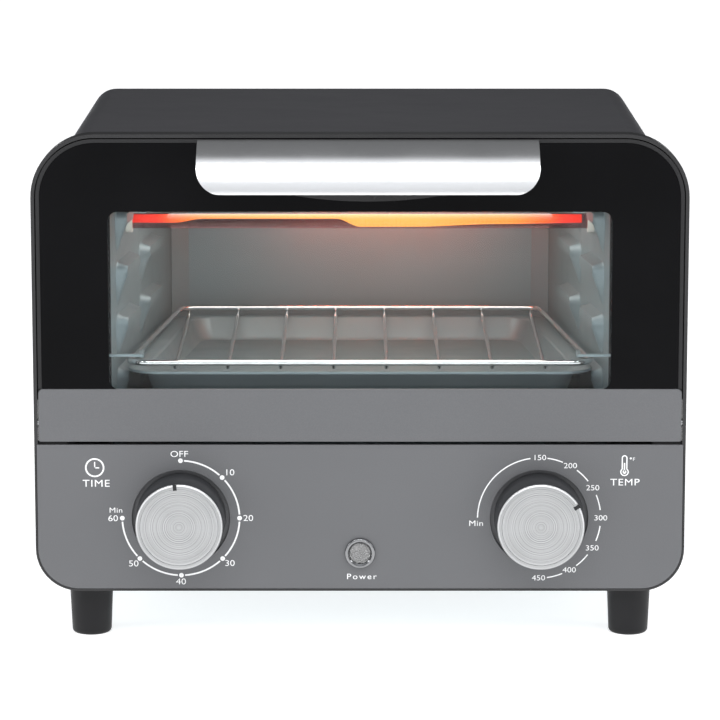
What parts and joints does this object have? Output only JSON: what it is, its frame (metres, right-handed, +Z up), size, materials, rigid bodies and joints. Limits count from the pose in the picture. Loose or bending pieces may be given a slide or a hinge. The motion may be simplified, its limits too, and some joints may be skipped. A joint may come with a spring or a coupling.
{
  "type": "toaster oven",
  "caption": "Compact toaster oven with a drop-down glass door, scooped silver handle, timer and temperature knobs, pilot lamp, rack, baking tray and crumb tray.",
  "frame": {"origin": "middle of the footprint, on the surface that the feet stand on", "axes": "+X to the right as seen from the front, +Y to the rear, +Z up; the door and knobs face -Y"},
  "size_m": [0.33, 0.263, 0.259],
  "materials": {
    "frame_paint": "satin black paint",
    "casing_paint": "satin dark grey paint",
    "panel_paint": "fine metallic grey paint",
    "galvanised_steel": "blue grey galvanised sheet",
    "plain_steel": "bright zinc plated",
    "chrome_wire": "bright chrome",
    "black_plastic": "matt black",
    "foot_plastic": "matt near black",
    "gloss_black": "gloss black",
    "window_glass": "clear toughened glass",
    "handle_silver": "satin silver lacquer",
    "knob_grey": "satin grey",
    "spun_aluminium": "turned face with fine rings",
    "lamp_chrome": "dark chrome",
    "lamp_clear": "cut clear lens",
    "neon_orange": "unlit neon lamp",
    "ceramic_white": "glazed ceramic",
    "hot_quartz": "glowing quartz tube",
    "cold_quartz": "frosted quartz tube",
    "moulded_cream": "cream phenolic",
    "bell_brass": "bell brass",
    "sleeving": "glass fibre sleeve"
  },
  "bodies": {
    "oven_body": {"front_frame": "frame_paint", "outer_casing": "casing_paint", "rear_panel": "casing_paint", "base_plate": "galvanised_steel", "foot_front_left": "foot_plastic", "foot_front_right": "foot_plastic", "foot_rear_left": "foot_plastic", "foot_rear_right": "foot_plastic", "foot_screws": "plain_steel", "casing_screws": "plain_steel", "rear_panel_screws": "plain_steel", "control_panel": "panel_paint", "control_screws": "plain_steel", "timer_body": "moulded_cream", "timer_bell": "bell_brass", "thermostat_body": "ceramic_white", "thermostat_blade": "bell_brass", "pilot_lamp_bezel": "lamp_chrome", "pilot_lamp_lens": "lamp_clear", "pilot_lamp_bulb": "neon_orange", "terminal_block": "moulded_cream", "thermal_fuse": "plain_steel", "internal_leads": "sleeving", "cord_gland": "black_plastic", "cavity_left_panel": "galvanised_steel", "cavity_right_panel": "galvanised_steel", "cavity_back_panel": "galvanised_steel", "cavity_roof": "galvanised_steel", "cavity_floor": "galvanised_steel", "upper_heating_elements": "hot_quartz", "lower_heating_elements": "cold_quartz", "ceramic_insulators": "ceramic_white", "hinge_pins": "plain_steel", "door_springs": "plain_steel"},
    "door": {"door_frame": "black_plastic", "door_fascia": "gloss_black", "door_glass": "window_glass", "glass_retainer": "plain_steel", "door_lower_rail": "panel_paint", "door_handle": "handle_silver", "handle_backplate": "gloss_black", "handle_screws": "plain_steel", "hinge_arms": "plain_steel", "rack_hooks": "galvanised_steel"},
    "wire_rack": {"wire_rack": "chrome_wire"},
    "baking_tray": {"baking_tray": "galvanised_steel"},
    "crumb_tray": {"crumb_tray": "galvanised_steel"},
    "timer_knob": {"timer_knob": "knob_grey", "timer_knob_cap": "spun_aluminium", "timer_shaft": "plain_steel"},
    "temp_knob": {"temp_knob": "knob_grey", "temp_knob_cap": "spun_aluminium", "temp_shaft": "plain_steel"}
  },
  "joints": [
    {"name": "door_hinge", "type": "hinge", "parent": "oven_body", "child": "door", "pos_m": [0, -0.099, 0.1116], "axis": [1, 0, 0], "range_deg": [0, 95], "deforming": ["door_springs"]},
    {"name": "rack_slide", "type": "slide", "parent": "oven_body", "child": "wire_rack", "axis": [0, -1, 0], "range_m": [0, 0.0335]},
    {"name": "tray_slide", "type": "slide", "parent": "oven_body", "child": "baking_tray", "axis": [0, -1, 0], "range_m": [0, 0.0335]},
    {"name": "crumb_tray_slide", "type": "slide", "parent": "oven_body", "child": "crumb_tray", "axis": [0, 1, 0], "range_m": [0, 0.18]},
    {"name": "timer_turn", "type": "hinge", "parent": "oven_body", "child": "timer_knob", "pos_m": [-0.091, -0.1035, 0.063], "axis": [0, 1, 0], "range_deg": [0, 275]},
    {"name": "temp_turn", "type": "hinge", "parent": "oven_body", "child": "temp_knob", "pos_m": [0.091, -0.1035, 0.063], "axis": [0, 1, 0], "range_deg": [-150, 120]}
  ],
  "couplings": [
    {"joint": "rack_slide", "follows": "door_hinge", "m_per_rad": 0.02},
    {"joint": "tray_slide", "follows": "door_hinge", "m_per_rad": 0.02}
  ]
}
